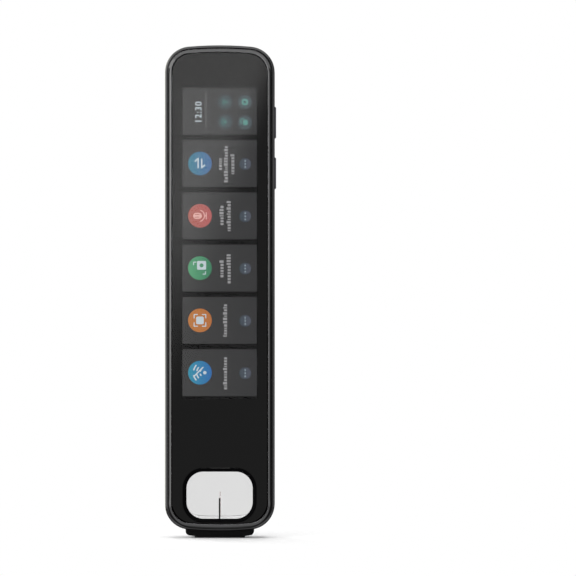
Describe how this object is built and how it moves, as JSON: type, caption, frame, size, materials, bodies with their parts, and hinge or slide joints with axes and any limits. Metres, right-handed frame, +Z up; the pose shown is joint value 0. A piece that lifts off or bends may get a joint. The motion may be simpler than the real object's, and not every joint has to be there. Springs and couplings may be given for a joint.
{
  "type": "handheld translator",
  "caption": "Pen-shaped scanning translator with a tall touch display, a see-through aiming window, a sprung scanning head, side keys and a speaker panel on the back.",
  "frame": {"origin": "middle of the scan head's flat lower face, at the foot of the nose", "axes": "+Z up along the body, -Y out of the display, +Y out of the back, +X the side with the keys"},
  "size_m": [0.0344, 0.013, 0.1522],
  "materials": {
    "front_metal": "satin, bright bevel",
    "rear_metal": "metallic satin blue-grey",
    "key_metal": "metallic satin",
    "cover_glass": "polished",
    "clear_lens": "polished, clear",
    "black_print": "black ink",
    "adhesive": "black foam tape",
    "black_gloss": "gloss",
    "mark_black": "ink",
    "mark_red": "ink",
    "light_guide": "white translucent",
    "panel_texture": "fine sand texture",
    "bright_trim": "satin",
    "badge_black": "mirror gloss",
    "mesh_steel": "fine mesh",
    "rubber_grey": "matte",
    "black_plastic": "matte",
    "display": "display panel",
    "white_plastic": "matte",
    "polyimide": "amber film",
    "magnesium": "die cast",
    "circuit_board": "solder mask",
    "steel": "plated",
    "chip_black": "moulded",
    "switch_body": "moulded",
    "nose_black": "fine matte",
    "battery_wrap": "pouch foil"
  },
  "bodies": {
    "housing": {"front_frame": "front_metal", "front_glass": "cover_glass", "glass_print": "black_print", "glass_adhesive": "adhesive", "window_front_bezel": "black_gloss", "window_front_lens": "clear_lens", "alignment_mark_front": "mark_black", "optical_chamber": "light_guide", "window_rear_bezel": "black_gloss", "window_rear_lens": "clear_lens", "alignment_mark_rear": "mark_red", "rear_cover": "rear_metal", "speaker_panel": "panel_texture", "badge_trim": "bright_trim", "badge_plate": "badge_black", "speaker_mesh": "mesh_steel", "speaker_gasket": "rubber_grey", "speaker": "black_plastic", "display_cell": "display", "display_backlight": "white_plastic", "display_flex": "polyimide", "chassis": "magnesium", "main_board": "circuit_board", "board_screws": "steel", "shield_can": "steel", "board_chips": "chip_black", "sensor_board": "circuit_board", "sensor_flex": "polyimide", "usb_shell": "steel", "usb_tongue": "chip_black", "power_switch": "switch_body", "function_switch": "switch_body", "microphone": "steel", "microphone_boot": "rubber_grey", "nose_shroud": "nose_black", "nose_springs": "steel", "trigger_switch": "switch_body", "camera_module": "black_plastic", "camera_lens": "clear_lens", "led_board": "circuit_board", "scan_leds": "white_plastic", "battery": "battery_wrap", "battery_leads": "rubber_grey"},
    "scan_head": {"scan_head": "nose_black", "scan_glass": "clear_lens", "trigger_plunger": "white_plastic"},
    "power_button": {"power_key": "key_metal", "power_switch_plunger": "white_plastic"},
    "function_button": {"function_key": "key_metal", "function_switch_plunger": "white_plastic"}
  },
  "joints": [
    {"name": "scan_head_press", "type": "slide", "parent": "housing", "child": "scan_head", "axis": [0, 0, 1], "range_m": [0, 0.0004], "stiffness_N_per_m": 800, "springref_m": -0.0006, "deforming": ["nose_springs"]},
    {"name": "power_key_press", "type": "slide", "parent": "housing", "child": "power_button", "axis": [-1, 0, 0], "range_m": [0, 0.00035], "stiffness_N_per_m": 1000, "springref_m": -0.0003},
    {"name": "function_key_press", "type": "slide", "parent": "housing", "child": "function_button", "axis": [-1, 0, 0], "range_m": [0, 0.00035], "stiffness_N_per_m": 1000, "springref_m": -0.0003}
  ]
}
